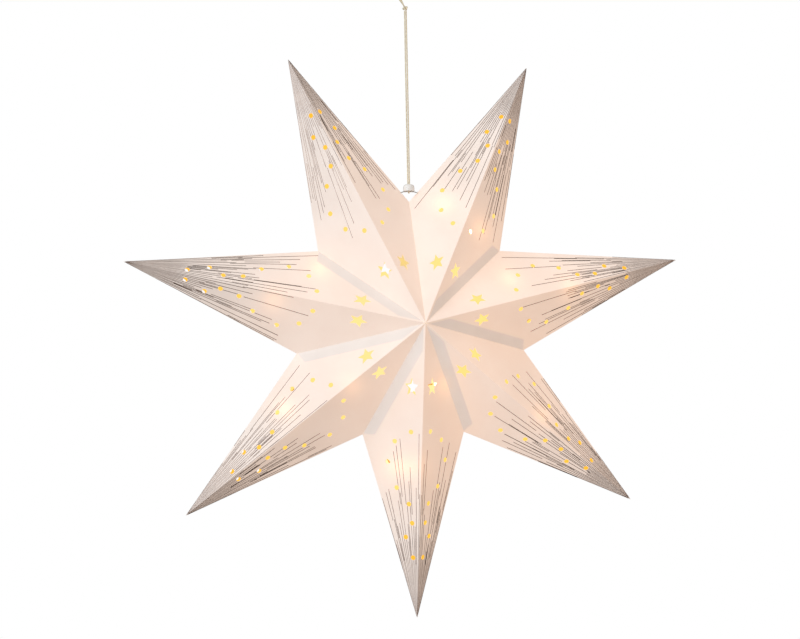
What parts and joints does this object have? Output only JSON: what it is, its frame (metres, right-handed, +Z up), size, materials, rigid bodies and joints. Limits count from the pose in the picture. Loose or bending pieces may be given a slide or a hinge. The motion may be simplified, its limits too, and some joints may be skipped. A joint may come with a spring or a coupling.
{
  "type": "paper star lantern",
  "caption": "Folding paper star lantern of pierced white card, lit from inside by a battery light string and hung by a doubled cord from a wire hanger with a cap.",
  "frame": {"origin": "where the cord loop hangs, just under the knot at its top", "axes": "+Z up along the cord, +Y through the star's thickness towards its back, +X to the right seen from the front"},
  "size_m": [0.585, 0.124, 0.6504],
  "materials": {
    "white_card": "matt white card, warm where the lights shine through, printed with fine metallic rays",
    "flap_card": "matt white card",
    "closure_dots": "white hook and loop",
    "twisted_cord": "fine twisted beige and gold cord",
    "white_plastic": "glossy white",
    "hanger_steel": "bright steel wire",
    "case_plastic": "satin white moulding",
    "switch_plastic": "black moulding",
    "cell_jacket": "printed cell jacket, no marks",
    "contact_metal": "nickel plated",
    "circuit_board": "green solder mask",
    "light_wire": "clear skin over copper",
    "clear_resin": "clear resin drops over warm white lights"
  },
  "bodies": {
    "cord": {"hanging_cord_left": "twisted_cord", "hanging_cord_right": "twisted_cord", "top_knot": "twisted_cord"},
    "cap": {"hanger_cap": "white_plastic", "cap_loop": "twisted_cord"},
    "star_core": {"hanger_wire": "hanger_steel", "battery_case": "case_plastic", "case_eye": "case_plastic", "battery_cell_1": "cell_jacket", "battery_cell_2": "cell_jacket", "battery_cell_3": "cell_jacket", "contact_springs": "contact_metal", "contact_plates": "contact_metal", "timer_board": "circuit_board", "wire_gland": "case_plastic", "light_wire": "light_wire", "light_beads": "clear_resin", "paper_point_1": "white_card", "glue_flap_1": "flap_card", "loop_dots": "closure_dots"},
    "battery_cover": {"battery_cover": "case_plastic"},
    "switch_slider": {"switch_slider": "switch_plastic"},
    "point_2": {"paper_point_2": "white_card", "glue_flap_2": "flap_card"},
    "point_3": {"paper_point_3": "white_card", "glue_flap_3": "flap_card"},
    "point_4": {"paper_point_4": "white_card", "glue_flap_4": "flap_card"},
    "point_5": {"paper_point_5": "white_card", "glue_flap_5": "flap_card"},
    "point_6": {"paper_point_6": "white_card", "glue_flap_6": "flap_card"},
    "point_7": {"paper_point_7": "white_card", "closing_tabs": "flap_card", "hook_dots": "closure_dots"}
  },
  "joints": [
    {"name": "star_turn", "type": "hinge", "parent": "cord", "child": "cap", "pos_m": [0, 0, 0], "axis": [0, 0, 1], "range_deg": [-180, 180]},
    {"name": "star_tilt", "type": "hinge", "parent": "cap", "child": "star_core", "pos_m": [0, 0, -0.18795], "axis": [1, 0, 0], "range_deg": [-12, 12]},
    {"name": "battery_cover_slide", "type": "slide", "parent": "star_core", "child": "battery_cover", "axis": [0, 0, -1], "range_m": [0, 0.06]},
    {"name": "switch_slide", "type": "slide", "parent": "star_core", "child": "switch_slider", "axis": [1, 0, 0], "range_m": [0, 0.003]},
    {"name": "fan_fold", "type": "hinge", "parent": "star_core", "child": "point_2", "pos_m": [0, 0, -0.326], "axis": [0, -1, 0], "range_deg": [0, 47.43], "deforming": ["paper_point_1", "glue_flap_1", "paper_point_2", "glue_flap_2", "paper_point_3", "glue_flap_3", "paper_point_4", "glue_flap_4", "paper_point_5", "glue_flap_5", "paper_point_6", "glue_flap_6", "paper_point_7", "closing_tabs", "hook_dots", "loop_dots", "light_wire", "light_beads"]},
    {"name": "fan_fold_3", "type": "hinge", "parent": "point_2", "child": "point_3", "pos_m": [0, 0, -0.326], "axis": [0, -1, 0], "range_deg": [0, 47.43]},
    {"name": "fan_fold_4", "type": "hinge", "parent": "point_3", "child": "point_4", "pos_m": [0, 0, -0.326], "axis": [0, -1, 0], "range_deg": [0, 47.43]},
    {"name": "fan_fold_5", "type": "hinge", "parent": "point_4", "child": "point_5", "pos_m": [0, 0, -0.326], "axis": [0, -1, 0], "range_deg": [0, 47.43]},
    {"name": "fan_fold_6", "type": "hinge", "parent": "point_5", "child": "point_6", "pos_m": [0, 0, -0.326], "axis": [0, -1, 0], "range_deg": [0, 47.43]},
    {"name": "fan_fold_7", "type": "hinge", "parent": "point_6", "child": "point_7", "pos_m": [0, 0, -0.326], "axis": [0, -1, 0], "range_deg": [0, 47.43]}
  ],
  "couplings": [
    {"joint": "fan_fold_3", "follows": "fan_fold", "ratio": 1},
    {"joint": "fan_fold_4", "follows": "fan_fold", "ratio": 1},
    {"joint": "fan_fold_5", "follows": "fan_fold", "ratio": 1},
    {"joint": "fan_fold_6", "follows": "fan_fold", "ratio": 1},
    {"joint": "fan_fold_7", "follows": "fan_fold", "ratio": 1}
  ]
}
